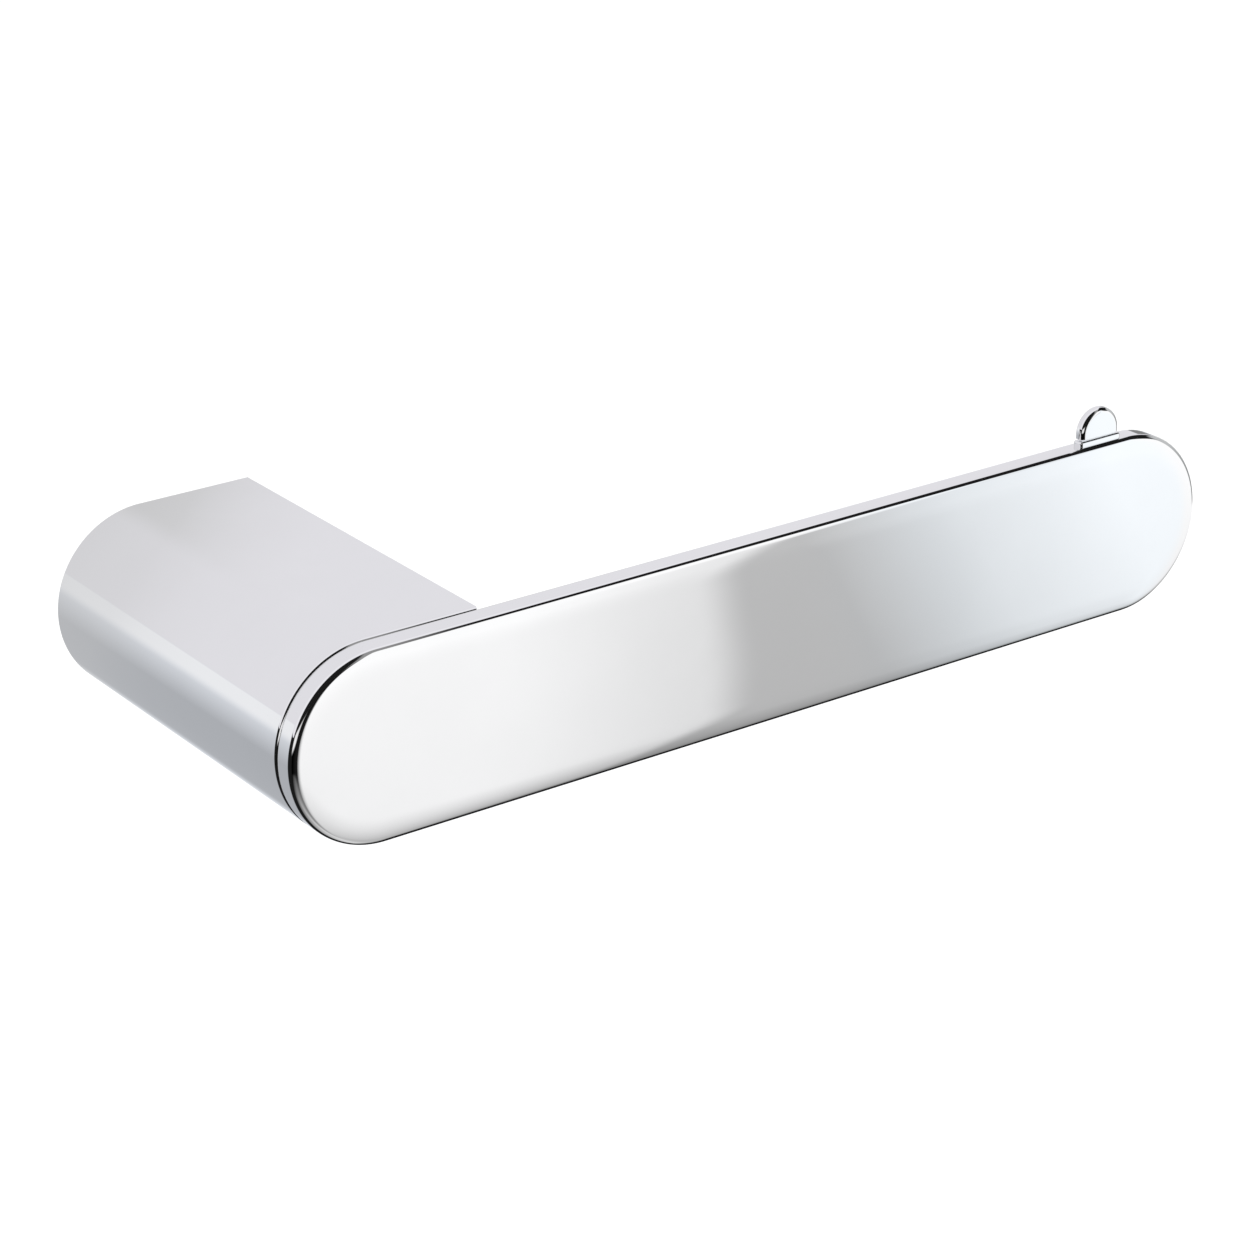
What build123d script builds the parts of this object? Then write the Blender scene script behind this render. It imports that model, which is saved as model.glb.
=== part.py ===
from build123d import *
import os

# Toilet roll holder: a hollow post carries a flat bar that sticks out sideways in front of the wall.
# Frame: +X along the bar towards its free end, +Y into the wall, +Z up, millimetres.
# The origin is on the wall plane, at the centre of the wall bracket's two screw holes.
# Plane.XZ faces the room, so Plane.XZ.offset(d) lies d in front of the wall.

# ---- driving dimensions -------------------------------------------------------------------------
HEIGHT = 30.0  # height of the post and of the bar
HALF_HEIGHT = HEIGHT / 2
REACH = 70.0  # from the wall to the bar's front face
BAR_LENGTH = 170.0
BAR_THICKNESS = 4.0
POST_WIDTH = 34.0
POST_DEPTH = REACH - BAR_THICKNESS

FREE_EDGE_R = 0.85  # polished edge round the bar's front face
JOINT_EDGE_R = 0.6  # small edges that make the fine groove between bar and post

# ---- hollow post --------------------------------------------------------------------------------
WALL = 3.0
FRONT_WALL = 6.0
POCKET_CORNER_R = 2.0
POCKET_FLOOR_R = 1.0
RIM_R = 0.3

# ---- thread pad on the back of the bar ----------------------------------------------------------
PAD_INSET = 6.0  # from the post's outline
PAD_THICKNESS = 2.5
PAD_CLEARANCE = 0.1
PAD_CHAMFER = 0.4

# ---- M4 screws that clamp the bar to the post ---------------------------------------------------
BAR_SCREW_SPACING = 14.0
BAR_SCREW_LENGTH = 10.0
M4_R = 2.0
M4_HEAD_R = 3.5
M4_HEAD_HEIGHT = 4.0
M4_SOCKET_ACROSS = 3.0
M4_SOCKET_DEPTH = 2.0
M4_CLEARANCE_R = 2.25
SCREW_TIP_CHAMFER = 0.5
BAR_HOLE_DEPTH = 2.8
THREAD_CLEARANCE = 0.02  # tapped holes are drawn at the thread's outside radius plus this

FLAT_WASHER_R = 4.5
FLAT_WASHER_HOLE_R = 2.15
FLAT_WASHER_THICKNESS = 0.8
SPRING_WASHER_R = 3.8
SPRING_WASHER_HOLE_R = 2.1
SPRING_WASHER_THICKNESS = 1.0
SPRING_WASHER_SLIT = 0.5
SPRING_WASHER_SLIT_ANGLE = 25.0

# ---- roll stop on top of the bar ----------------------------------------------------------------
STOP_X = 132.6
STOP_Y = -REACH + BAR_THICKNESS / 2
STOP_RISE = 5.75  # from the bar's top edge to the top of the stop
STOP_WIDTH = 7.85
STOP_THICKNESS = 1.65
STOP_FRONT_R = 0.6
STOP_BACK_R = 0.35
FOOT_WIDTH = 8.4
FOOT_THICKNESS = 1.95
FOOT_HEIGHT = 1.1
FOOT_CORNER_R = 0.45
FOOT_TOP_R = 0.35
NECK_HEIGHT = 0.3
NECK_INSET = 0.3
STOP_PIN_R = 0.5
STOP_PIN_LENGTH = 2.5
STOP_PIN_SPACING = 4.4
STOP_PIN_CLEARANCE = 0.04

# ---- wall bracket and set screw -----------------------------------------------------------------
BRACKET_INSET = 4.0  # from the post's outline, so 1 mm clear of the pocket's wall
PLATE_THICKNESS = 3.0
PLATE_CORNER_R = 3.0
PLATE_EDGE_R = 0.5
WALL_HOLE_R = 2.5
WALL_HOLE_SPACING = 16.0
LUG_WIDTH = 7.0
LUG_HEIGHT = 17.0
LUG_DEPTH = 9.0
LUG_EDGE_R = 0.8
SET_SCREW_Y = -8.0
M5_R = 2.5
SET_SCREW_LENGTH = 8.0
SET_SCREW_SUNK = 0.4
M5_SOCKET_ACROSS = 2.5
M5_SOCKET_DEPTH = 3.0
SEAT_CLEARANCE = 0.06
THREAD_BOSS_R = 4.5
THREAD_BOSS_HEIGHT = 2.5

# ---- places worked out from the dimensions above ------------------------------------------------
POST_LEFT = -POST_WIDTH / 2
POST_RIGHT = POST_WIDTH / 2
ROUND_X = POST_LEFT + HALF_HEIGHT  # centre of the round left side of post and bar
BAR_CENTRE_X = POST_LEFT + BAR_LENGTH / 2
POCKET_DEPTH = POST_DEPTH - FRONT_WALL
POCKET_HALF_HEIGHT = HALF_HEIGHT - WALL
FLAT_WASHER_AT = POCKET_DEPTH
SPRING_WASHER_AT = FLAT_WASHER_AT - FLAT_WASHER_THICKNESS
SCREW_SEAT_AT = SPRING_WASHER_AT - SPRING_WASHER_THICKNESS
SET_SCREW_BOTTOM = -HALF_HEIGHT + SET_SCREW_SUNK
SET_SCREW_TOP = SET_SCREW_BOTTOM + SET_SCREW_LENGTH
BAR_SCREW_X = {"left": -BAR_SCREW_SPACING / 2, "right": BAR_SCREW_SPACING / 2}


def post_outline(inset):
    """Draw the post's outline, round on the left and square on the right, moved inwards by inset."""
    radius = HALF_HEIGHT - inset
    with Locations((ROUND_X, 0)):
        Circle(radius)
        Rectangle(POST_RIGHT - inset - ROUND_X, 2 * radius, align=(Align.MIN, Align.CENTER))


def right_corners(sketch):
    """Return the two corners on the square side of an outline."""
    return sketch.vertices().group_by(Axis.X)[-1]


def front_face(part):
    """Return the face nearest the room."""
    return part.faces().sort_by(Axis.Y)[0]


def back_face(part):
    """Return the face nearest the wall."""
    return part.faces().sort_by(Axis.Y)[-1]


def save(part, name):
    """Label a finished piece and write it under the name of its node."""
    part.label = name
    export_step(part, f"parts/{name}.step")


os.makedirs("parts", exist_ok=True)

# ---- post: a casting open at the wall, closed by a thick front wall -----------------------------
with BuildPart() as post_shell:
    with BuildSketch(Plane.XZ):
        post_outline(0)
    extrude(amount=POST_DEPTH)
    fillet(front_face(post_shell).edges(), radius=JOINT_EDGE_R)
    fillet(back_face(post_shell).edges(), radius=RIM_R)
    # pocket for the wall bracket, with cast corners
    with BuildSketch(Plane.XZ) as pocket:
        post_outline(WALL)
        fillet(right_corners(pocket), radius=POCKET_CORNER_R)
    extrude(amount=POCKET_DEPTH, mode=Mode.SUBTRACT)
    pocket_floor = post_shell.faces().filter_by(Axis.Y).sort_by(Axis.Y)[1]
    fillet(pocket_floor.edges(), radius=POCKET_FLOOR_R)
    # recess that keys the bar's thread pad
    with BuildSketch(Plane.XZ.offset(POST_DEPTH)):
        post_outline(PAD_INSET - PAD_CLEARANCE)
    extrude(amount=-(PAD_THICKNESS + PAD_CLEARANCE), mode=Mode.SUBTRACT)
    # clearance holes for the two bar screws
    with Locations(Plane.XZ.offset(POST_DEPTH)):
        with GridLocations(BAR_SCREW_SPACING, 1, 2, 1):
            Hole(M4_CLEARANCE_R, depth=FRONT_WALL + 1)
    # boss and tapped hole for the set screw in the underside
    with BuildSketch(Plane.XY.offset(-POCKET_HALF_HEIGHT - WALL / 2)):
        with Locations((0, SET_SCREW_Y)):
            Circle(THREAD_BOSS_R)
    extrude(amount=WALL / 2 + THREAD_BOSS_HEIGHT)
    with BuildSketch(Plane.XY.offset(-HALF_HEIGHT)):
        with Locations((0, SET_SCREW_Y)):
            Circle(M5_R + THREAD_CLEARANCE)
    extrude(amount=WALL + THREAD_BOSS_HEIGHT, mode=Mode.SUBTRACT)
save(post_shell.part, "post_shell")

# ---- bar: a flat plate with round ends ----------------------------------------------------------
with BuildPart() as roll_bar:
    with BuildSketch(Plane.XZ.offset(POST_DEPTH)):
        with Locations((BAR_CENTRE_X, 0)):
            SlotOverall(BAR_LENGTH, HEIGHT)
    extrude(amount=BAR_THICKNESS)
    fillet(front_face(roll_bar).edges(), radius=FREE_EDGE_R)
    fillet(back_face(roll_bar).edges(), radius=JOINT_EDGE_R)
    # blind tapped holes behind the post
    with BuildSketch(Plane.XZ.offset(POST_DEPTH)):
        with GridLocations(BAR_SCREW_SPACING, 1, 2, 1):
            Circle(M4_R + THREAD_CLEARANCE)
    extrude(amount=BAR_HOLE_DEPTH, mode=Mode.SUBTRACT)
    # drilled holes for the stop's pins in the top edge
    with BuildSketch(Plane.XY.offset(HALF_HEIGHT)):
        with Locations((STOP_X, STOP_Y)):
            with GridLocations(STOP_PIN_SPACING, 1, 2, 1):
                Circle(STOP_PIN_R + STOP_PIN_CLEARANCE)
    extrude(amount=-(STOP_PIN_LENGTH + STOP_PIN_CLEARANCE), mode=Mode.SUBTRACT)
save(roll_bar.part, "roll_bar")

# ---- thread pad: brazed to the bar's back, where 4 mm alone is too thin for the M4 threads ------
with BuildPart() as bar_thread_pad:
    with BuildSketch(Plane.XZ.offset(POST_DEPTH)):
        post_outline(PAD_INSET)
        with GridLocations(BAR_SCREW_SPACING, 1, 2, 1):
            Circle(M4_R + THREAD_CLEARANCE, mode=Mode.SUBTRACT)
    extrude(amount=-PAD_THICKNESS)
    chamfer(back_face(bar_thread_pad).outer_wire().edges(), length=PAD_CHAMFER)
save(bar_thread_pad.part, "bar_thread_pad")

# ---- stop: a half-round lug on a small foot, pinned into the bar's top edge ---------------------
foot_top = HALF_HEIGHT + FOOT_HEIGHT
lug_bottom = foot_top + NECK_HEIGHT
lug_top = HALF_HEIGHT + STOP_RISE
lug_shoulder = lug_top - STOP_WIDTH / 2
lug_left = STOP_X - STOP_WIDTH / 2
lug_right = STOP_X + STOP_WIDTH / 2
with BuildPart() as stop_foot:
    with BuildSketch(Plane.XY.offset(HALF_HEIGHT)):
        with Locations((STOP_X, STOP_Y)):
            RectangleRounded(FOOT_WIDTH, FOOT_THICKNESS, FOOT_CORNER_R)
    extrude(amount=FOOT_HEIGHT)
    fillet(stop_foot.faces().sort_by(Axis.Z)[-1].edges(), radius=FOOT_TOP_R)

with BuildPart() as roll_stop:
    with BuildSketch(Plane.XZ.offset(-STOP_Y)):
        with BuildLine():
            Line((lug_left, lug_bottom), (lug_left, lug_shoulder))
            ThreePointArc((lug_left, lug_shoulder), (STOP_X, lug_top), (lug_right, lug_shoulder))
            Line((lug_right, lug_shoulder), (lug_right, lug_bottom))
            Line((lug_right, lug_bottom), (lug_left, lug_bottom))
        make_face()
    extrude(amount=STOP_THICKNESS / 2, both=True)
    # the bottom edge of either face is left sharp, since the neck covers it
    fillet(front_face(roll_stop).edges().sort_by(Axis.Z)[1:], radius=STOP_FRONT_R)
    fillet(back_face(roll_stop).edges().sort_by(Axis.Z)[1:], radius=STOP_BACK_R)
    with BuildSketch(Plane.XY.offset(foot_top)):
        with Locations((STOP_X, STOP_Y)):
            Rectangle(STOP_WIDTH - 2 * NECK_INSET, STOP_THICKNESS - 2 * NECK_INSET)
    extrude(amount=NECK_HEIGHT + STOP_BACK_R)
    add(stop_foot.part)
    with BuildSketch(Plane.XY.offset(HALF_HEIGHT)):
        with Locations((STOP_X, STOP_Y)):
            with GridLocations(STOP_PIN_SPACING, 1, 2, 1):
                Circle(STOP_PIN_R)
    extrude(amount=-STOP_PIN_LENGTH)
save(roll_stop.part, "roll_stop")

# ---- the screws that clamp the bar, each with its two washers -----------------------------------
for side, screw_x in BAR_SCREW_X.items():
    with BuildPart() as bar_screw:
        with BuildSketch(Plane.XZ.offset(SCREW_SEAT_AT)):
            with Locations((screw_x, 0)):
                Circle(M4_R)
        extrude(amount=BAR_SCREW_LENGTH)
        chamfer(front_face(bar_screw).edges(), length=SCREW_TIP_CHAMFER)
        with BuildSketch(Plane.XZ.offset(SCREW_SEAT_AT)):
            with Locations((screw_x, 0)):
                Circle(M4_HEAD_R)
        extrude(amount=-M4_HEAD_HEIGHT)
        chamfer(back_face(bar_screw).edges(), length=SCREW_TIP_CHAMFER / 2)
        with BuildSketch(Plane.XZ.offset(SCREW_SEAT_AT - M4_HEAD_HEIGHT)):
            with Locations((screw_x, 0)):
                RegularPolygon(M4_SOCKET_ACROSS / 2, 6, major_radius=False)
        extrude(amount=M4_SOCKET_DEPTH, mode=Mode.SUBTRACT)
    save(bar_screw.part, f"bar_screw_{side}")

    with BuildPart() as spring_washer:
        with BuildSketch(Plane.XZ.offset(SPRING_WASHER_AT)):
            with Locations((screw_x, 0)):
                Circle(SPRING_WASHER_R)
                Circle(SPRING_WASHER_HOLE_R, mode=Mode.SUBTRACT)
        extrude(amount=-SPRING_WASHER_THICKNESS)
        # the slanted slit through the ring's upper side
        slit_y = -SPRING_WASHER_AT + SPRING_WASHER_THICKNESS / 2
        with Locations((screw_x, slit_y, (SPRING_WASHER_R + SPRING_WASHER_HOLE_R) / 2)):
            Box(
                SPRING_WASHER_SLIT,
                2 * SPRING_WASHER_THICKNESS,
                2 * (SPRING_WASHER_R - SPRING_WASHER_HOLE_R),
                rotation=(0, 0, SPRING_WASHER_SLIT_ANGLE),
                mode=Mode.SUBTRACT,
            )
    save(spring_washer.part, f"spring_washer_{side}")

    with BuildPart() as flat_washer:
        with BuildSketch(Plane.XZ.offset(FLAT_WASHER_AT)):
            with Locations((screw_x, 0)):
                Circle(FLAT_WASHER_R)
                Circle(FLAT_WASHER_HOLE_R, mode=Mode.SUBTRACT)
        extrude(amount=-FLAT_WASHER_THICKNESS)
        chamfer(back_face(flat_washer).outer_wire().edges(), length=FLAT_WASHER_THICKNESS / 4)
    save(flat_washer.part, f"flat_washer_{side}")

# ---- wall bracket: a plate screwed to the wall, with a lug that the set screw pulls on ----------
with BuildPart() as wall_bracket:
    with BuildSketch(Plane.XZ) as plate_outline:
        post_outline(BRACKET_INSET)
        fillet(right_corners(plate_outline), radius=PLATE_CORNER_R)
    extrude(amount=PLATE_THICKNESS)
    fillet(front_face(wall_bracket).edges(), radius=PLATE_EDGE_R)
    with BuildSketch(Plane.XZ.offset(PLATE_THICKNESS)):
        RectangleRounded(LUG_WIDTH, LUG_HEIGHT, LUG_EDGE_R)
    extrude(amount=LUG_DEPTH)
    fillet(front_face(wall_bracket).edges(), radius=LUG_EDGE_R)
    with BuildSketch(Plane.XZ):
        with GridLocations(WALL_HOLE_SPACING, 1, 2, 1):
            Circle(WALL_HOLE_R)
    extrude(amount=PLATE_THICKNESS, mode=Mode.SUBTRACT)
    # cone seat for the set screw's point, a hair larger all round
    cone_length = M5_R + SEAT_CLEARANCE
    with Locations((0, SET_SCREW_Y, SET_SCREW_TOP + SEAT_CLEARANCE - cone_length)):
        Cone(cone_length, 0, cone_length, align=(Align.CENTER, Align.CENTER, Align.MIN), mode=Mode.SUBTRACT)
save(wall_bracket.part, "wall_bracket")

# ---- set screw: cone point, driven from below ---------------------------------------------------
with BuildPart() as set_screw:
    with BuildSketch(Plane.XY.offset(SET_SCREW_BOTTOM)):
        with Locations((0, SET_SCREW_Y)):
            Circle(M5_R)
    extrude(amount=SET_SCREW_LENGTH)
    chamfer(set_screw.faces().sort_by(Axis.Z)[-1].edges(), length=M5_R - SEAT_CLEARANCE)
    chamfer(set_screw.faces().sort_by(Axis.Z)[0].edges(), length=SCREW_TIP_CHAMFER / 2)
    with BuildSketch(Plane.XY.offset(SET_SCREW_BOTTOM)):
        with Locations((0, SET_SCREW_Y)):
            RegularPolygon(M5_SOCKET_ACROSS / 2, 6, major_radius=False)
    extrude(amount=M5_SOCKET_DEPTH, mode=Mode.SUBTRACT)
save(set_screw.part, "set_screw")
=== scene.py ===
"""Toilet roll holder in polished chrome: looks and studio around the fixed metal frame."""

from math import asin, cos, pi, radians, sin

import bmesh
import bpy
from bpy.props import FloatProperty, FloatVectorProperty, IntProperty, PointerProperty
from mathutils import Matrix, Vector


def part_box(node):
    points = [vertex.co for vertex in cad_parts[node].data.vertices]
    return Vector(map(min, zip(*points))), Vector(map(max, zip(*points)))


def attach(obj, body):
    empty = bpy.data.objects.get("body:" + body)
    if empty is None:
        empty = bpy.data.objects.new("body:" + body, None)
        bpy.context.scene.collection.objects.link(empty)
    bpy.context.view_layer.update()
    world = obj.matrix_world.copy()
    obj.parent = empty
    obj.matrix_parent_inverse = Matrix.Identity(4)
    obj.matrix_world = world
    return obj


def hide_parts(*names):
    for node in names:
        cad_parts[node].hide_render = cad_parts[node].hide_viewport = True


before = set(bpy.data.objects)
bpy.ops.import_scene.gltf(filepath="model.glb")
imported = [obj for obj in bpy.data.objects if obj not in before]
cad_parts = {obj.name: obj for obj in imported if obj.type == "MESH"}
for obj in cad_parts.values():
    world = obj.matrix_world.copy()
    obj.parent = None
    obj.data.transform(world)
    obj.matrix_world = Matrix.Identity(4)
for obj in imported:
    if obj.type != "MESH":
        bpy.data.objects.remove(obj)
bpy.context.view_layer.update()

bl_info = {
    "name": "Chrome Roll Holder",
    "version": (1, 0, 0),
    "blender": (4, 5, 0),
    "location": "View3D > Sidebar > Roll Holder",
    "description": "Models a wall roll holder with a flat bar, its hidden fixings and a small studio",
    "category": "Object",
}

MM = 0.001
NEAR = 1e-6  # metres, for telling which side of a plane a corner lies on
SMOOTH_BELOW = radians(32)  # faces that meet at less are shaded as one round surface

# Boxes of the metal parts that the visible pieces are modelled from
POST_LOW, POST_HIGH = (Vector(c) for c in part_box("post_shell"))
BAR_LOW, BAR_HIGH = (Vector(c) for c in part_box("roll_bar"))
STOP_LOW, STOP_HIGH = (Vector(c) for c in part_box("roll_stop"))
HALF_HEIGHT = BAR_HIGH.z

# Fixed fits of the parts that meet
PIN_SPREAD = 2.2 * MM  # from the stop's middle to either pin
PIN_RADIUS = 0.5 * MM
PIN_ROOM = 0.04 * MM  # round and under a pin in its hole
PIN_ROOT = 0.4 * MM  # how far a pin runs up into the foot
TAPPED_RADIUS = 2.02 * MM
TAPPED_DEPTH = 2.8 * MM
CLEARANCE_RADIUS = 2.25 * MM
SET_SCREW_HOLE_RADIUS = 2.52 * MM
BOSS_RADIUS = 4.5 * MM
BOSS_HEIGHT = 2.5 * MM
PAD_ROOM = 0.1 * MM  # round the thread pad in its recess


# ---- properties ---------------------------------------------------------------------------------
def length(name, description, default):
    """A length in metres that a user may change."""
    return FloatProperty(name=name, description=description, default=default, min=0.0, unit="LENGTH")


def shade(name, description, default):
    """A colour that a user may change."""
    return FloatVectorProperty(
        name=name, description=description, default=default, size=3, min=0.0, max=1.0, subtype="COLOR"
    )


class HolderSizes(bpy.types.PropertyGroup):
    """Edges and roundings of the visible pieces."""

    free_edge: length("Bar front edge", "Radius of the polished edge round the bar's face", 0.85 * MM)
    joint_edge: length("Joint edge", "Radius of the edges that make the groove at the post", 0.6 * MM)
    rim_edge: length("Wall rim", "Radius of the post's rim at the wall", 0.3 * MM)
    crown_width: length("Buffed margin", "Width over which polishing rounds the bar's face", 3.65 * MM)
    crown_slope: FloatProperty(
        name="Buffed slope", description="How steep the face falls away where its edge begins",
        default=radians(4.0), unit="ROTATION",
    )
    post_wall: length("Post wall", "Thickness of the post's casting", 3.0 * MM)
    front_wall: length("Post front wall", "Thickness of the wall behind the bar", 6.0 * MM)
    lug_width: length("Stop width", "Width of the stop's half-round lug", 7.85 * MM)
    lug_thickness: length("Stop thickness", "Thickness of the stop's lug", 1.65 * MM)
    lug_front_edge: length("Stop front edge", "Radius of the lug's edge towards the room", 0.8 * MM)
    lug_back_edge: length("Stop back edge", "Radius of the lug's edge towards the wall", 0.35 * MM)
    foot_height: length("Foot height", "Height of the foot under the lug", 0.9 * MM)
    foot_corner: length("Foot corner", "Radius of the foot's upright corners", 0.45 * MM)
    foot_edge: length("Foot edge", "Radius of the foot's top edge", 0.35 * MM)
    neck_height: length("Neck height", "Height of the groove between foot and lug", 0.3 * MM)
    neck_inset: length("Neck inset", "Depth of the groove between foot and lug", 0.5 * MM)
    pocket_corner: length("Pocket corner", "Radius of the cast corners in the post's pocket", 2.0 * MM)
    pocket_floor: length("Pocket floor", "Radius round the floor of the post's pocket", 1.0 * MM)
    hole_chamfer: length("Hole chamfer", "Chamfer at the mouth of the set screw's hole", 0.25 * MM)
    arc_steps: IntProperty(name="Arc steps", description="Facets in a quarter round", default=48, min=8)


class HolderFinish(bpy.types.PropertyGroup):
    """Colours of the metals."""

    chrome: shade("Chrome", "Plated and mirror-polished", (0.872, 0.873, 0.880))
    brass: shade("Brass", "Bare milled brass", (0.78, 0.60, 0.32))
    zinc: shade("Zinc", "Zinc-plated steel", (0.62, 0.63, 0.66))
    steel: shade("Stainless steel", "Bare stainless steel", (0.52, 0.52, 0.54))


class StudioSettings(bpy.types.PropertyGroup):
    """Camera, floor and light."""

    camera_place: FloatVectorProperty(
        name="Camera", description="Where the camera stands", default=(-0.2362, -0.4639, 0.2125),
        size=3, subtype="TRANSLATION", unit="LENGTH",
    )
    heading: FloatProperty(
        name="Heading", description="Turn from the wall's normal", default=radians(34.99), unit="ROTATION"
    )
    down_tilt: FloatProperty(
        name="Down tilt", description="Tilt below level", default=radians(23.05), unit="ROTATION"
    )
    roll: FloatProperty(
        name="Roll", description="Turn about the line of sight", default=radians(-0.78), unit="ROTATION"
    )
    lens: FloatProperty(name="Lens", description="Focal length", default=103.7, unit="CAMERA")
    floor_drop: length("Floor drop", "How far the floor lies below the bar", 0.6)
    floor_size: length("Floor size", "Side of the floor", 12.0)
    floor_shade: shade("Floor", "Pale floor", (0.93, 0.93, 0.93))


# ---- modelling helpers --------------------------------------------------------------------------
def middle_of(node):
    """Return the middle of a metal part's box."""
    low, high = (Vector(c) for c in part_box(node))
    return (low + high) / 2


def activate(piece):
    """Make one piece the only selected and the active one."""
    bpy.ops.object.select_all(action="DESELECT")
    piece.select_set(True)
    bpy.context.view_layer.objects.active = piece


def settle(name):
    """Name the new primitive and move its place into its mesh."""
    piece = bpy.context.object
    piece.name = name
    piece.data.name = name
    bpy.ops.object.transform_apply(location=True, rotation=True, scale=True)
    return piece


def lift(place, z):
    """Return the point above or below a place at height z."""
    return Vector((place.x, place.y, z))


def block(name, low, high):
    """Add a box between two corners."""
    bpy.ops.object.select_all(action="DESELECT")
    low, high = Vector(low), Vector(high)
    bpy.ops.mesh.primitive_cube_add(size=1.0, location=(low + high) / 2, scale=high - low)
    return settle(name)


def rod(name, start, end, radius, steps=64):
    """Add a cylinder between two points."""
    bpy.ops.object.select_all(action="DESELECT")
    start, end = Vector(start), Vector(end)
    turn = Vector((0, 0, 1)).rotation_difference(end - start).to_euler()
    bpy.ops.mesh.primitive_cylinder_add(
        vertices=steps, radius=radius, depth=(end - start).length, location=(start + end) / 2, rotation=turn
    )
    return settle(name)


def plate(name, low, high, left, right, steps=16):
    """Add a block whose edges along Y are rounded, with one radius at the left and one at the right."""
    piece = block(name, low, high)
    for side, radius in ((low[0], left), (high[0], right)):
        if radius > 0:
            round_edges(piece, lambda c: abs(c.x - side) < NEAR, radius, steps, lambda way: abs(way.y) > NEAR)
    return piece


def pick_edges(piece, test, along=None):
    """In edit mode, select the edges whose ends both pass a test, and whose direction passes another."""
    bpy.ops.mesh.select_mode(type="EDGE")
    bpy.ops.mesh.select_all(action="DESELECT")
    mesh = bmesh.from_edit_mesh(piece.data)
    for edge in mesh.edges:
        start, end = (corner.co for corner in edge.verts)
        edge.select_set(test(start) and test(end) and (along is None or along(end - start)))
    mesh.select_flush_mode()
    bmesh.update_edit_mesh(piece.data)


def pick_faces(piece, test):
    """In edit mode, select only the faces whose centre and normal pass the test."""
    bpy.ops.mesh.select_mode(type="FACE")
    bpy.ops.mesh.select_all(action="DESELECT")
    mesh = bmesh.from_edit_mesh(piece.data)
    for face in mesh.faces:
        face.select_set(test(face.calc_center_median(), face.normal))
    mesh.select_flush_mode()
    bmesh.update_edit_mesh(piece.data)


def round_edges(piece, test, radius, steps, along=None):
    """Round the picked edges with an arc of that radius."""
    activate(piece)
    bpy.ops.object.mode_set(mode="EDIT")
    pick_edges(piece, test, along)
    bpy.ops.mesh.bevel(offset=radius, segments=steps, profile=0.5, affect="EDGES", clamp_overlap=False)
    bpy.ops.mesh.select_all(action="SELECT")
    bpy.ops.mesh.remove_doubles(threshold=2e-6)
    bpy.ops.object.mode_set(mode="OBJECT")


def apply_boolean(piece, tool, operation):
    """Cut a tool away from a piece, or melt it on, and remove the tool."""
    activate(piece)
    step = piece.modifiers.new(operation.title(), "BOOLEAN")
    step.operation = operation
    step.solver = "EXACT"
    step.object = tool
    bpy.ops.object.modifier_apply(modifier=step.name)
    bpy.data.objects.remove(tool)


def cut(piece, *tools):
    """Cut every tool away from a piece."""
    for tool in tools:
        apply_boolean(piece, tool, "DIFFERENCE")


def melt(piece, *tools):
    """Melt every tool onto a piece."""
    for tool in tools:
        apply_boolean(piece, tool, "UNION")


def smooth(piece):
    """Shade round surfaces smooth, while flat faces keep their own normal up to their edge."""
    activate(piece)
    bpy.ops.object.shade_smooth_by_angle(angle=SMOOTH_BELOW)
    step = piece.modifiers.new("Flat faces", "WEIGHTED_NORMAL")
    step.keep_sharp = True
    step.weight = 50
    bpy.ops.object.modifier_apply(modifier=step.name)


def finish_piece(piece, material, node):
    """Give a piece its material, hang it on the frame and let it stand for its metal part."""
    piece.data.materials.clear()
    piece.data.materials.append(material)
    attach(piece, "root")
    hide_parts(node)


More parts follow.
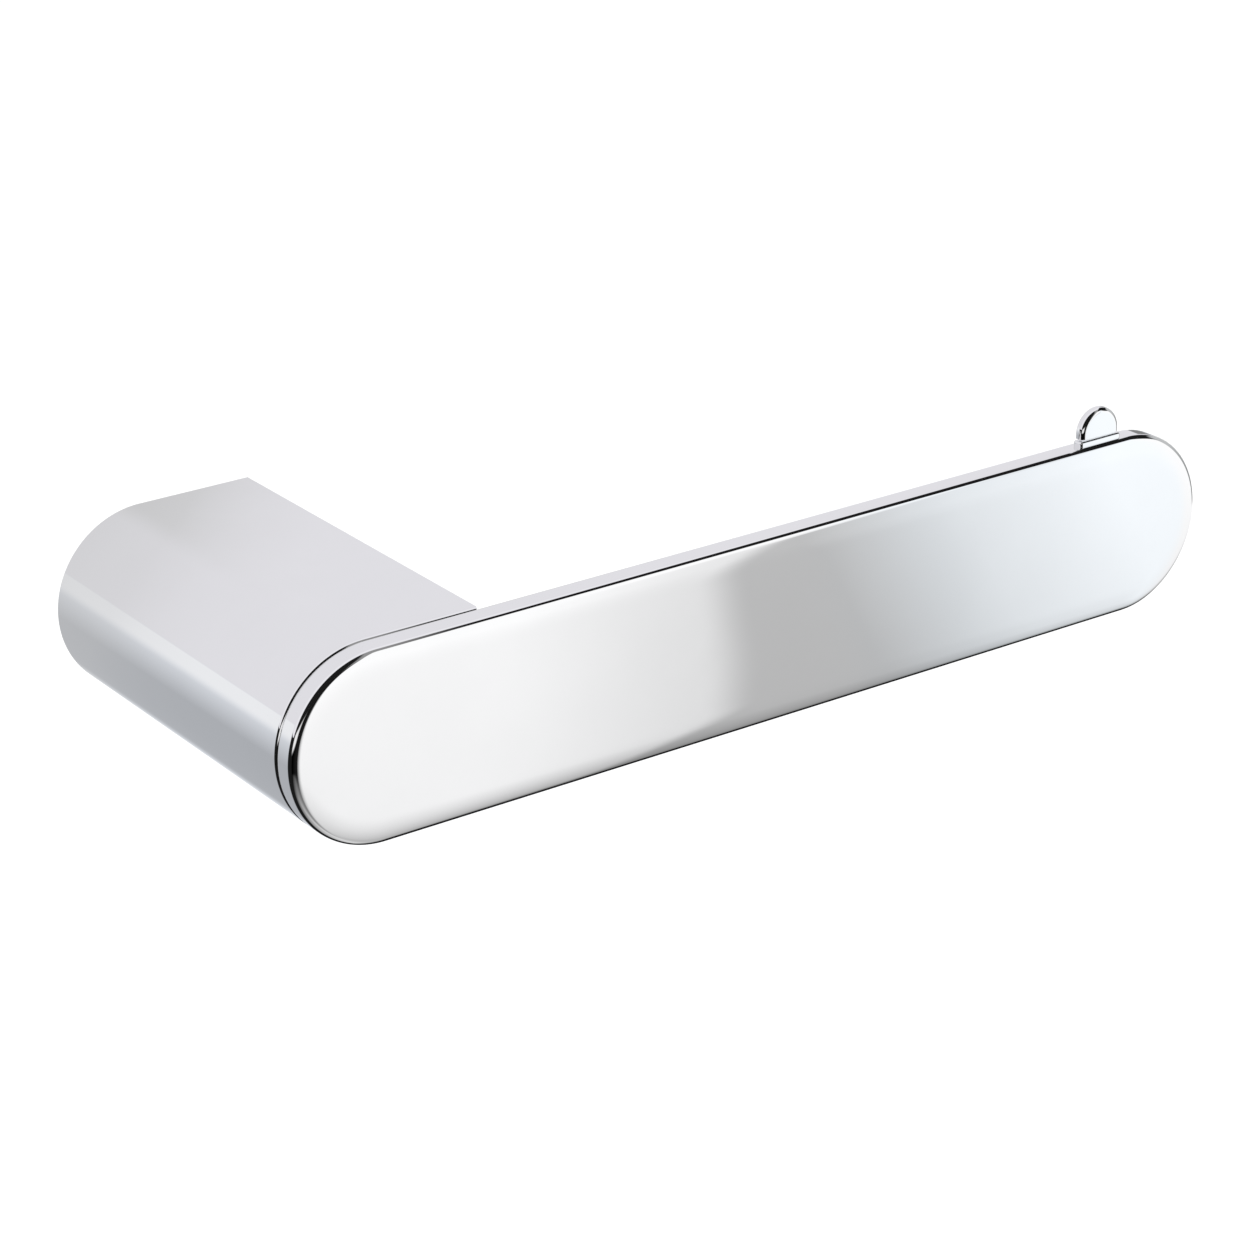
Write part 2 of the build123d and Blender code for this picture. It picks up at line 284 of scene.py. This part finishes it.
# ---- materials ----------------------------------------------------------------------------------
class Nodes:
    """A material's or the world's node tree, with short ways to add to it."""

    def __init__(self, tree):
        self.tree = tree
        tree.nodes.clear()

    def add(self, kind, **values):
        """Add a node. A value's name is an input's name, or an attribute's where there is no input."""
        node = self.tree.nodes.new(kind)
        for key, value in values.items():
            if hasattr(node, key):
                setattr(node, key, value)
            else:
                self.feed(node.inputs[key.replace("_", " ")], value)
        return node

    def feed(self, socket, value):
        """Link an output into a socket, or set the socket's own value."""
        if isinstance(value, bpy.types.NodeSocket):
            self.tree.links.new(value, socket)
        else:
            socket.default_value = value

    def math(self, operation, *values):
        """Add a math node and return its result."""
        node = self.tree.nodes.new("ShaderNodeMath")
        node.operation = operation
        for socket, value in zip(node.inputs, values):
            self.feed(socket, value)
        return node.outputs[0]

    def plus(self, first, second):
        return self.math("ADD", first, second)

    def minus(self, first, second):
        return self.math("SUBTRACT", first, second)

    def times(self, first, second):
        return self.math("MULTIPLY", first, second)

    def ramp(self, value, low, high, to_low=0.0, to_high=1.0):
        """Map a value from one span to another in a straight line, and hold it beyond both ends."""
        return self.rise(value, low, high, to_low, to_high, "LINEAR")

    def rise(self, value, low, high, to_low=0.0, to_high=1.0, way="SMOOTHSTEP"):
        """Map a value from one span to another, levelling off softly at both ends."""
        node = self.tree.nodes.new("ShaderNodeMapRange")
        node.interpolation_type = way
        for socket, given in zip(node.inputs, (value, low, high, to_low, to_high)):
            self.feed(socket, given)
        return node.outputs[0]

    def window(self, value, low, high, soft_low, soft_high):
        """Be one between two values, and fade to nothing over a soft edge at each."""
        rising = self.rise(value, low - soft_low, low + soft_low)
        return self.times(rising, self.rise(value, high - soft_high, high + soft_high, 1.0, 0.0))

    def tint(self, colour, value):
        """Multiply a colour by a grey value."""
        node = self.tree.nodes.new("ShaderNodeVectorMath")
        node.operation = "SCALE"
        node.inputs[0].default_value = colour
        self.feed(node.inputs["Scale"], value)
        return node.outputs[0]

    def blend(self, amount, first, second):
        """Mix two colours."""
        node = self.tree.nodes.new("ShaderNodeMix")
        node.data_type = "RGBA"
        self.feed(node.inputs[0], amount)
        self.feed(node.inputs[6], first)
        self.feed(node.inputs[7], second)
        return node.outputs[2]


def new_material(name):
    """Make an empty material and return it with its nodes, its shader and object coordinates."""
    material = bpy.data.materials.new(name)
    material.use_nodes = True
    nodes = Nodes(material.node_tree)
    shader = nodes.add("ShaderNodeBsdfPrincipled")
    output = nodes.add("ShaderNodeOutputMaterial")
    nodes.tree.links.new(shader.outputs[0], output.inputs[0])
    place = nodes.add("ShaderNodeTexCoord").outputs["Object"]
    return material, nodes, shader, place


def grey(level):
    """Return a grey as a node's colour."""
    return (level, level, level, 1.0)


DARK = grey(0.012)  # unlit parts of the studio


def tinted(colour, factor):
    """Return a darker or lighter version of a colour, as a node's colour."""
    return (*(min(1.0, channel * factor) for channel in colour), 1.0)


def chrome_material(name, colour, ripple):
    """Mirror chrome: faint polishing haze, hairlines from wiping, long soft ripples and a fine skin."""
    material, nodes, shader, place = new_material(name)
    haze = nodes.add("ShaderNodeTexNoise", Vector=place, Scale=55.0, Detail=4.0, Roughness=0.6)
    streaks = nodes.add(
        "ShaderNodeMapping", Vector=place, Scale=(300.0, 9000.0, 2600.0), Rotation=(0.0, 0.35, 0.0)
    )
    hairs = nodes.add("ShaderNodeTexNoise", Vector=streaks.outputs[0], Scale=1.0, Detail=3.0, Roughness=0.7)
    hair_mask = nodes.rise(hairs.outputs["Fac"], 0.62, 0.78)
    soft = nodes.rise(haze.outputs["Fac"], 0.35, 0.7, 0.012, 0.04)
    nodes.feed(shader.inputs["Roughness"], nodes.plus(soft, nodes.times(hair_mask, 0.03)))
    tone = nodes.blend(nodes.rise(haze.outputs["Fac"], 0.3, 0.75), tinted(colour, 1.0), tinted(colour, 0.985))
    nodes.feed(shader.inputs["Base Color"], tone)
    nodes.feed(shader.inputs["Metallic"], 1.0)
    swell = nodes.add("ShaderNodeTexNoise", Vector=place, Scale=38.0, Detail=1.0, Roughness=0.4)
    waves = nodes.add("ShaderNodeBump", Strength=1.0, Distance=ripple, Height=swell.outputs["Fac"])
    peel = nodes.add("ShaderNodeTexNoise", Vector=place, Scale=1400.0, Detail=2.0)
    skin = nodes.add(
        "ShaderNodeBump", Strength=0.5, Distance=2e-8, Height=peel.outputs["Fac"], Normal=waves.outputs[0]
    )
    nodes.feed(shader.inputs["Normal"], skin.outputs[0])
    return material


def turned_metal(name, colour, rough_low, rough_high, grain, depth):
    """Machined metal: directional tool marks and mottled plating with darker patches."""
    material, nodes, shader, place = new_material(name)
    marks = nodes.add("ShaderNodeMapping", Vector=place, Scale=grain)
    lines = nodes.add("ShaderNodeTexNoise", Vector=marks.outputs[0], Scale=1.0, Detail=4.0, Roughness=0.65)
    mottle = nodes.add("ShaderNodeTexNoise", Vector=place, Scale=260.0, Detail=5.0, Roughness=0.6)
    patch = nodes.rise(mottle.outputs["Fac"], 0.35, 0.7)
    nodes.feed(shader.inputs["Base Color"], nodes.blend(patch, tinted(colour, 1.0), tinted(colour, 0.78)))
    nodes.feed(shader.inputs["Metallic"], 1.0)
    worn = nodes.plus(nodes.times(patch, 0.5), nodes.times(lines.outputs["Fac"], 0.5))
    nodes.feed(shader.inputs["Roughness"], nodes.rise(worn, 0.2, 0.8, rough_low, rough_high))
    bump = nodes.add("ShaderNodeBump", Strength=0.6, Distance=depth, Height=lines.outputs["Fac"])
    nodes.feed(shader.inputs["Normal"], bump.outputs[0])
    return material


# ---- pieces -------------------------------------------------------------------------------------
class HOLDER_OT_bar(bpy.types.Operator):
    """Model the flat bar with round ends, polished edges and a buffed face"""

    bl_idname = "holder.bar"
    bl_label = "Bar"

    def execute(self, context):
        sizes = context.scene.holder_sizes
        finish = context.scene.holder_finish
        bar = plate("bar", BAR_LOW, BAR_HIGH, HALF_HEIGHT, HALF_HEIGHT, sizes.arc_steps)
        round_edges(bar, lambda c: c.y > BAR_HIGH.y - NEAR, sizes.joint_edge, 8)
        round_edges(bar, lambda c: c.y < BAR_LOW.y + NEAR, sizes.free_edge, 16)
        self.buff_face(bar, sizes)
        cut(bar, *self.screw_holes(), *self.pin_holes())
        smooth(bar)
        finish_piece(bar, chrome_material("bar_chrome", finish.chrome, 6e-6), "roll_bar")
        return {"FINISHED"}

    def buff_face(self, bar, sizes):
        """Let the face fall away towards its edge, and carry that slope on into the rounded edge."""
        rings = 14
        activate(bar)
        bpy.ops.object.mode_set(mode="EDIT")
        pick_faces(bar, lambda centre, normal: centre.y < BAR_LOW.y + NEAR and normal.y < -0.999)
        for _ in range(rings):
            bpy.ops.mesh.inset(thickness=sizes.crown_width / rings, depth=0.0)
        bpy.ops.object.mode_set(mode="OBJECT")
        edge, width, slope = sizes.free_edge, sizes.crown_width, sizes.crown_slope
        drop = slope * width / 3
        arc = edge / (1 - sin(slope))
        left, right = BAR_LOW.x + HALF_HEIGHT, BAR_HIGH.x - HALF_HEIGHT
        for corner in bar.data.vertices:
            if corner.co.y > BAR_LOW.y + edge + NEAR:
                continue
            spine = Vector((min(max(corner.co.x, left), right), corner.co.y, 0.0))
            outwards = corner.co - spine
            past_face = outwards.length - (HALF_HEIGHT - edge)
            if past_face < NEAR:
                margin = max(past_face + width, 0.0) / width
                corner.co.y = BAR_LOW.y + drop * margin**3
            else:
                turn = slope + asin(min(past_face / edge, 1.0)) * (1 - slope / (pi / 2))
                corner.co = spine + outwards.normalized() * (HALF_HEIGHT - arc * (1 - sin(turn)))
                corner.co.y = BAR_LOW.y + drop + arc * (cos(slope) - cos(turn))

    def screw_holes(self):
        """Make rods for the blind tapped holes behind the post."""
        tip = BAR_HIGH.y - TAPPED_DEPTH
        for node in ("bar_screw_left", "bar_screw_right"):
            x = middle_of(node).x
            yield rod("screw_hole", (x, tip, 0), (x, BAR_HIGH.y + MM, 0), TAPPED_RADIUS)

    def pin_holes(self):
        """Make rods for the holes that take the stop's pins."""
        middle = middle_of("roll_stop")
        bottom = STOP_LOW.z - PIN_ROOM
        for x in (middle.x - PIN_SPREAD, middle.x + PIN_SPREAD):
            mouth = (x, middle.y, HALF_HEIGHT + MM)
            yield rod("pin_hole", (x, middle.y, bottom), mouth, PIN_RADIUS + PIN_ROOM, 32)


class HOLDER_OT_post(bpy.types.Operator):
    """Model the hollow post that the bar is screwed to"""

    bl_idname = "holder.post"
    bl_label = "Post"

    def execute(self, context):
        sizes = context.scene.holder_sizes
        finish = context.scene.holder_finish
        post = plate("post", POST_LOW, POST_HIGH, HALF_HEIGHT, 0.0, sizes.arc_steps)
        round_edges(post, lambda c: c.y > POST_HIGH.y - NEAR, sizes.rim_edge, 4)
        round_edges(post, lambda c: c.y < POST_LOW.y + NEAR, sizes.joint_edge, 8)
        cut(post, self.pocket(sizes), self.pad_recess(), *self.screw_holes(sizes))
        self.set_screw_boss(post, sizes)
        smooth(post)
        finish_piece(post, chrome_material("post_chrome", finish.chrome, 3e-6), "post_shell")
        return {"FINISHED"}

    def set_screw_boss(self, post, sizes):
        """Thicken the underside round the set screw and bore the screw's hole through it."""
        screw = middle_of("set_screw")
        root = -HALF_HEIGHT + sizes.post_wall / 2
        top = -HALF_HEIGHT + sizes.post_wall + BOSS_HEIGHT
        melt(post, rod("boss", lift(screw, root), lift(screw, top), BOSS_RADIUS, 48))
        outside = -HALF_HEIGHT - MM
        hole = rod("set_screw_hole", lift(screw, outside), lift(screw, top + MM), SET_SCREW_HOLE_RADIUS)
        cut(post, hole, self.hole_mouth(screw, sizes.hole_chamfer))

    def pocket(self, sizes):
        """Make the block that hollows the post from the wall side."""
        wall = sizes.post_wall
        floor = POST_LOW.y + sizes.front_wall
        low = (POST_LOW.x + wall, floor, POST_LOW.z + wall)
        high = (POST_HIGH.x - wall, POST_HIGH.y + MM, POST_HIGH.z - wall)
        pocket = plate("pocket", low, high, HALF_HEIGHT - wall, sizes.pocket_corner)
        round_edges(pocket, lambda c: c.y < floor + NEAR, sizes.pocket_floor, 6)
        return pocket

    def pad_recess(self):
        """Make the block for the recess that keys the bar's thread pad."""
        low, high = (Vector(c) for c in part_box("bar_thread_pad"))
        room = Vector((PAD_ROOM, PAD_ROOM, PAD_ROOM))
        low, high = low - room, high + room
        low.y = POST_LOW.y - MM
        return plate("pad_recess", low, high, (high.z - low.z) / 2, 0.0)

    def screw_holes(self, sizes):
        """Make rods for the holes that the bar's screws pass through."""
        inside = POST_LOW.y + sizes.front_wall + 2 * MM
        for node in ("bar_screw_left", "bar_screw_right"):
            x = middle_of(node).x
            yield rod("clearance_hole", (x, POST_LOW.y - MM, 0), (x, inside, 0), CLEARANCE_RADIUS)

    def hole_mouth(self, screw, chamfer):
        """Make the cone that breaks the edge of the set screw's hole."""
        radius = SET_SCREW_HOLE_RADIUS
        bpy.ops.object.select_all(action="DESELECT")
        bpy.ops.mesh.primitive_cone_add(
            vertices=64, radius1=radius + 2 * chamfer, radius2=radius - chamfer, depth=3 * chamfer,
            location=(screw.x, screw.y, -HALF_HEIGHT + chamfer / 2),
        )
        return settle("hole_mouth")


class HOLDER_OT_stop(bpy.types.Operator):
    """Model the half-round stop on its foot"""

    bl_idname = "holder.stop"
    bl_label = "Stop"

    def execute(self, context):
        sizes = context.scene.holder_sizes
        finish = context.scene.holder_finish
        middle = middle_of("roll_stop")
        foot_top = HALF_HEIGHT + sizes.foot_height
        lug_bottom = foot_top + sizes.neck_height
        half = Vector((sizes.lug_width / 2, sizes.lug_thickness / 2, 0))
        inset = Vector((sizes.neck_inset, sizes.neck_inset, 0))
        stop = self.lug(middle, half, lug_bottom, sizes)
        foot = self.foot(foot_top, sizes)
        neck_low = lift(middle - half + inset, foot_top - sizes.neck_height)
        neck_high = lift(middle + half - inset, lug_bottom + sizes.lug_back_edge)
        melt(stop, block("neck", neck_low, neck_high), foot, *self.pins(middle))
        smooth(stop)
        finish_piece(stop, chrome_material("stop_chrome", finish.chrome, 1e-6), "roll_stop")
        return {"FINISHED"}

    def lug(self, middle, half, bottom, sizes):
        """Make the half-round lug with its softer edge towards the room."""
        lug = block("stop", lift(middle - half, bottom), lift(middle + half, STOP_HIGH.z))
        round_edges(lug, lambda c: c.z > STOP_HIGH.z - NEAR, half.x, 32, lambda way: abs(way.y) > NEAR)
        self.round_lug(lug, middle.y - half.y, half.x, sizes.lug_front_edge)
        self.round_lug(lug, middle.y + half.y, half.x, sizes.lug_back_edge)
        return lug

    def foot(self, top, sizes):
        """Make the thin foot that stands on the bar's top edge."""
        foot = block("foot", lift(STOP_LOW, HALF_HEIGHT), lift(STOP_HIGH, top))
        round_edges(foot, lambda c: True, sizes.foot_corner, 8, lambda way: abs(way.z) > NEAR)
        round_edges(foot, lambda c: c.z > top - NEAR, sizes.foot_edge, 8)
        return foot

    def pins(self, middle):
        """Make the two pins that hold the stop in the bar."""
        top = HALF_HEIGHT + PIN_ROOT
        for x in (middle.x - PIN_SPREAD, middle.x + PIN_SPREAD):
            yield rod("pin", (x, middle.y, STOP_LOW.z), (x, middle.y, top), PIN_RADIUS, 32)

    def round_lug(self, lug, plane, half_width, radius):
        """Round the outline of one face of the lug, apart from its long bottom edge."""
        round_edges(
            lug, lambda c: abs(c.y - plane) < NEAR, radius, 10,
            lambda way: abs(way.y) < NEAR and not (abs(way.z) < NEAR and abs(way.x) > half_width),
        )


class HOLDER_OT_fixings(bpy.types.Operator):
    """Give the hidden fixings their metals"""

    bl_idname = "holder.fixings"
    bl_label = "Fixings"

    def execute(self, context):
        finish = context.scene.holder_finish
        metals = {
            "bar_thread_pad": turned_metal("milled_brass", finish.brass, 0.2, 0.42, (300, 300, 9000), 4e-6),
            "wall_bracket": turned_metal("bracket_zinc", finish.zinc, 0.28, 0.5, (5000, 400, 400), 5e-6),
            "set_screw": turned_metal("set_screw_steel", finish.steel, 0.2, 0.4, (600, 600, 9000), 3e-6),
        }
        screw = turned_metal("screw_zinc", finish.zinc, 0.22, 0.4, (600, 9000, 600), 3e-6)
        washer = turned_metal("washer_zinc", finish.zinc, 0.2, 0.36, (5000, 800, 800), 2e-6)
        for side in ("left", "right"):
            metals[f"bar_screw_{side}"] = screw
            metals[f"spring_washer_{side}"] = washer
            metals[f"flat_washer_{side}"] = washer
        for node, metal in metals.items():
            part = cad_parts[node]
            part.data.materials.clear()
            part.data.materials.append(metal)
        return {"FINISHED"}


# ---- stage --------------------------------------------------------------------------------------
class HOLDER_OT_stage(bpy.types.Operator):
    """Set up the pale floor, the studio light and the camera"""

    bl_idname = "holder.stage"
    bl_label = "Stage"

    def execute(self, context):
        studio = context.scene.holder_studio
        self.floor(studio)
        self.light()
        self.studio_world(context.scene)
        self.camera(context.scene, studio)
        context.scene.view_settings.view_transform = "Standard"
        return {"FINISHED"}

    def floor(self, studio):
        """Plain pale floor well below the holder, kept out of the mirror surfaces."""
        bpy.ops.object.select_all(action="DESELECT")
        bpy.ops.mesh.primitive_plane_add(size=studio.floor_size, location=(0, 0, -studio.floor_drop))
        floor = settle("floor")
        material, nodes, shader, place = new_material("pale_floor")
        grain = nodes.add("ShaderNodeTexNoise", Vector=place, Scale=30.0, Detail=3.0)
        pale = studio.floor_shade
        tone = nodes.blend(grain.outputs["Fac"], tinted(pale, 1.0), tinted(pale, 0.99))
        nodes.feed(shader.inputs["Base Color"], tone)
        nodes.feed(shader.inputs["Roughness"], 0.9)
        nodes.feed(shader.inputs["Specular IOR Level"], 0.0)
        floor.data.materials.append(material)
        floor.visible_glossy = False

    def light(self):
        """One large soft light overhead, kept out of the mirror surfaces."""
        bpy.ops.object.select_all(action="DESELECT")
        bpy.ops.object.light_add(type="AREA", location=(0.0, 0.0, 3.0))
        lamp = bpy.context.object
        lamp.name = "overhead_softbox"
        lamp.data.shape = "SQUARE"
        lamp.data.size = 6.0
        lamp.data.energy = 60.0
        lamp.visible_glossy = False

    def camera(self, scene, studio):
        """Camera that looks down at the holder from the front left."""
        bpy.ops.object.select_all(action="DESELECT")
        bpy.ops.object.camera_add()
        camera = bpy.context.object
        camera.name = "camera"
        camera.matrix_world = (
            Matrix.Translation(studio.camera_place)
            @ Matrix.Rotation(-studio.heading, 4, "Z")
            @ Matrix.Rotation(pi / 2 - studio.down_tilt, 4, "X")
            @ Matrix.Rotation(studio.roll, 4, "Z")
        )
        camera.data.lens = studio.lens
        camera.data.sensor_width = 36.0
        camera.data.clip_start = 0.01
        camera.data.clip_end = 50.0
        scene.camera = camera

    def studio_world(self, scene):
        """Studio that the mirror surfaces see, while everything else gets plain white light.

        across, into_wall and up are the parts of a direction along X, Y and Z; height is its angle
        above the horizon in degrees.
        """
        world = bpy.data.worlds.new("studio")
        scene.world = world
        world.use_nodes = True
        nodes = Nodes(world.node_tree)
        way = nodes.add("ShaderNodeTexCoord").outputs["Generated"]
        across, into_wall, up = nodes.add("ShaderNodeSeparateXYZ", Vector=way).outputs
        height = nodes.math("DEGREES", nodes.math("ARCSINE", up))

        behind = nodes.rise(into_wall, 0.52, 0.66)
        colour = nodes.blend(behind, DARK, self.table_behind(nodes, across, into_wall, height))
        above = nodes.rise(height, 5.6, 7.0)
        colour = nodes.blend(above, colour, self.ceiling(nodes, across, into_wall))
        colour = nodes.blend(self.grey_centre(nodes, across, into_wall), colour, grey(0.62))
        lit = self.lit_part(nodes, across, into_wall, height)
        colour = nodes.blend(lit, colour, self.front_table(nodes, across, into_wall, up, height))
        end_wall = nodes.times(nodes.rise(across, 0.86, 0.92), nodes.rise(height, -21.6, -19.4))
        wall_shade = nodes.tint((0.97, 0.99, 1.0), nodes.rise(height, -19.0, 8.0, 0.25, 0.6))
        colour = nodes.blend(end_wall, colour, wall_shade)
        colour = nodes.blend(self.window_pane(nodes, across, into_wall, height), colour, grey(0.95))

        shine = nodes.add("ShaderNodeBackground", Color=colour, Strength=1.0)
        plain = nodes.add("ShaderNodeBackground", Color=grey(1.0), Strength=1.0)
        path = nodes.add("ShaderNodeLightPath")
        mix = nodes.add("ShaderNodeMixShader")
        nodes.tree.links.new(path.outputs["Is Glossy Ray"], mix.inputs[0])
        nodes.tree.links.new(plain.outputs[0], mix.inputs[1])
        nodes.tree.links.new(shine.outputs[0], mix.inputs[2])
        output = nodes.add("ShaderNodeOutputWorld")
        nodes.tree.links.new(mix.outputs[0], output.inputs[0])

    def table_behind(self, nodes, across, into_wall, height):
        """Bluish table behind, with a bright skirting of light where it meets the backdrop."""
        turn = nodes.math("DEGREES", nodes.math("ARCTAN2", across, into_wall))
        table = nodes.ramp(height, -22.0, -3.0, 0.475, 0.80)
        table = nodes.plus(table, nodes.rise(turn, 8.0, 28.0, 0.0, 0.35))
        table = nodes.times(table, nodes.rise(height, -55.0, -38.0, 0.05, 1.0))
        table = nodes.blend(0.5, table, nodes.tint((0.93, 1.0, 1.12), table))
        skirting = nodes.window(height, -4.5, 6.3, 3.5, 0.6)
        table = nodes.blend(skirting, table, (0.94, 0.95, 0.97, 1.0))
        return nodes.blend(nodes.rise(across, 0.66, 0.74), table, grey(0.22))

    def ceiling(self, nodes, across, into_wall):
        """Lavender backdrop and ceiling, with a dark hole over the front that a grey bridge crosses."""
        backdrop = nodes.tint((0.842, 0.834, 0.870), nodes.rise(into_wall, 0.2, 0.6, 1.12, 1.0))
        edge_of_hole = nodes.ramp(across, 0.50, 0.66, -0.15, 0.42)
        past_hole = nodes.rise(nodes.minus(into_wall, edge_of_hole), -0.06, 0.06)
        bare = nodes.blend(past_hole, DARK, backdrop)
        bridge = nodes.times(nodes.window(across, 0.24, 0.480, 0.05, 0.012), 0.7)
        bridged = nodes.blend(bridge, bare, nodes.blend(past_hole, grey(0.45), backdrop))
        return nodes.blend(nodes.rise(across, 0.90, 1.0), bridged, grey(0.6))

    def grey_centre(self, nodes, across, into_wall):
        """Return how far the backdrop turns grey straight behind."""
        centre = nodes.math("POWER", nodes.ramp(into_wall, 0.79, 0.8284), 4.0)
        core = nodes.ramp(into_wall, 0.8284, 0.84, 0.0, 0.3)
        fall = nodes.plus(nodes.times(centre, 0.7), core)
        return nodes.times(fall, nodes.rise(across, 0.1, 0.45, 0.5, 1.0))

    def front_table(self, nodes, across, into_wall, up, height):
        """Pale table at the front right, with a grey card, a dark box and a dark gap underneath."""
        edge = nodes.rise(across, 0.25, 0.42, 0.76, 0.55)
        depth = nodes.ramp(height, -33.0, -26.0, edge, 1.0)
        depth = nodes.plus(depth, nodes.ramp(height, -27.0, -19.0, 0.0, 0.14))

        beside = nodes.plus(across, nodes.ramp(height, -24.0, -20.5, 0.0, 0.010))
        card_face = nodes.ramp(beside, 0.5825, 0.617, 0.52, 0.815)
        card_face = nodes.plus(card_face, nodes.ramp(beside, 0.617, 0.6513, 0.0, 0.185))
        lean = nodes.times(nodes.plus(up, 0.397), nodes.rise(height, -24.5, -23.0, 0.28, 0.12))
        upright = nodes.minus(across, lean)
        table = nodes.rise(upright, 0.4885, 0.5525, 1.0, 0.80)
        card = nodes.rise(upright, 0.543, 0.5565)
        step = nodes.times(card, nodes.minus(card_face, table))
        level = nodes.times(nodes.plus(table, step), depth)

        far_left = nodes.ramp(across, -0.65, 0.25)
        box = nodes.ramp(height, -42.0, -28.0, 0.0, 0.78)
        box = nodes.plus(box, nodes.rise(height, -28.0, -25.2, 0.0, 0.21))
        box = nodes.times(box, nodes.rise(across, 0.332, 0.374, 1.0, 0.0))
        level = nodes.times(level, nodes.times(far_left, nodes.minus(1.0, box)))

        below = nodes.minus(into_wall, nodes.ramp(across, 0.25, 0.46, -0.15, -0.45))
        under = nodes.times(nodes.rise(height, -48.0, -38.0, 0.95, 0.0), nodes.rise(below, -0.12, 0.12))
        under = nodes.times(under, nodes.rise(across, 0.66, 0.76, 1.0, 0.0))
        level = nodes.times(level, nodes.minus(1.0, under))
        cool = nodes.window(across, 0.585, 0.68, 0.02, 0.03)
        return nodes.blend(cool, level, nodes.tint((0.955, 0.995, 1.025), level))

    def lit_part(self, nodes, across, into_wall, height):
        """Return how far the front table's light reaches, up, back and into the gap at the wall."""
        top_of_light = nodes.rise(across, 0.28, 0.42, 0.0, 33.0)
        top_of_light = nodes.minus(top_of_light, nodes.rise(across, 0.6, 0.78, 0.0, 22.0))
        top_of_light = nodes.minus(top_of_light, nodes.rise(across, 0.86, 0.97, 0.0, 22.0))
        lit = nodes.rise(nodes.minus(height, top_of_light), -1.5, 1.5, 1.0, 0.0)
        lit = nodes.times(lit, nodes.rise(into_wall, 0.52, 0.66, 1.0, 0.0))
        reach = nodes.minus(into_wall, nodes.times(across, 0.8))
        lit = nodes.times(lit, nodes.rise(reach, -0.1, 0.15, 1.0, 0.0))
        gap = nodes.times(nodes.rise(into_wall, -0.3, -0.1), nodes.rise(height, -30.0, -22.0, 0.93, 0.0))
        gap = nodes.times(gap, nodes.window(across, 0.44, 0.76, 0.06, 0.04))
        return nodes.times(lit, nodes.minus(1.0, gap))

    def window_pane(self, nodes, across, into_wall, height):
        """Return the mask of a small window at the front left."""
        turn = nodes.math("DEGREES", nodes.math("ARCTAN2", across, nodes.times(into_wall, -1.0)))
        in_height = nodes.window(height, -9.0, 7.0, 3.0, 3.0)
        return nodes.times(in_height, nodes.window(turn, -62.0, -22.0, 6.0, 8.0))


class HOLDER_PT_panel(bpy.types.Panel):
    """Lists the pieces and the stage"""

    bl_idname = "HOLDER_PT_panel"
    bl_label = "Roll Holder"
    bl_space_type = "VIEW_3D"
    bl_region_type = "UI"
    bl_category = "Roll Holder"

    def draw(self, context):
        for step in STEPS:
            self.layout.operator(step.bl_idname)
        for group in ("holder_sizes", "holder_finish", "holder_studio"):
            settings = getattr(context.scene, group)
            box = self.layout.box()
            for key in settings.bl_rna.properties.keys():
                if key not in ("rna_type", "name"):
                    box.prop(settings, key)


STEPS = (HOLDER_OT_stage, HOLDER_OT_post, HOLDER_OT_bar, HOLDER_OT_stop, HOLDER_OT_fixings)
GROUPS = {"holder_sizes": HolderSizes, "holder_finish": HolderFinish, "holder_studio": StudioSettings}


def register():
    """Register the settings, the operators and the panel."""
    for group in GROUPS.values():
        bpy.utils.register_class(group)
    for step in STEPS:
        bpy.utils.register_class(step)
    bpy.utils.register_class(HOLDER_PT_panel)
    for name, group in GROUPS.items():
        setattr(bpy.types.Scene, name, PointerProperty(type=group))


def unregister():
    """Remove everything that register() added."""
    for name in GROUPS:
        delattr(bpy.types.Scene, name)
    bpy.utils.unregister_class(HOLDER_PT_panel)
    for step in STEPS:
        bpy.utils.unregister_class(step)
    for group in GROUPS.values():
        bpy.utils.unregister_class(group)


def main():
    """Build everything in order."""
    register()
    for step in STEPS:
        family, name = step.bl_idname.split(".")
        getattr(getattr(bpy.ops, family), name)()


if __name__ == "__main__":
    main()
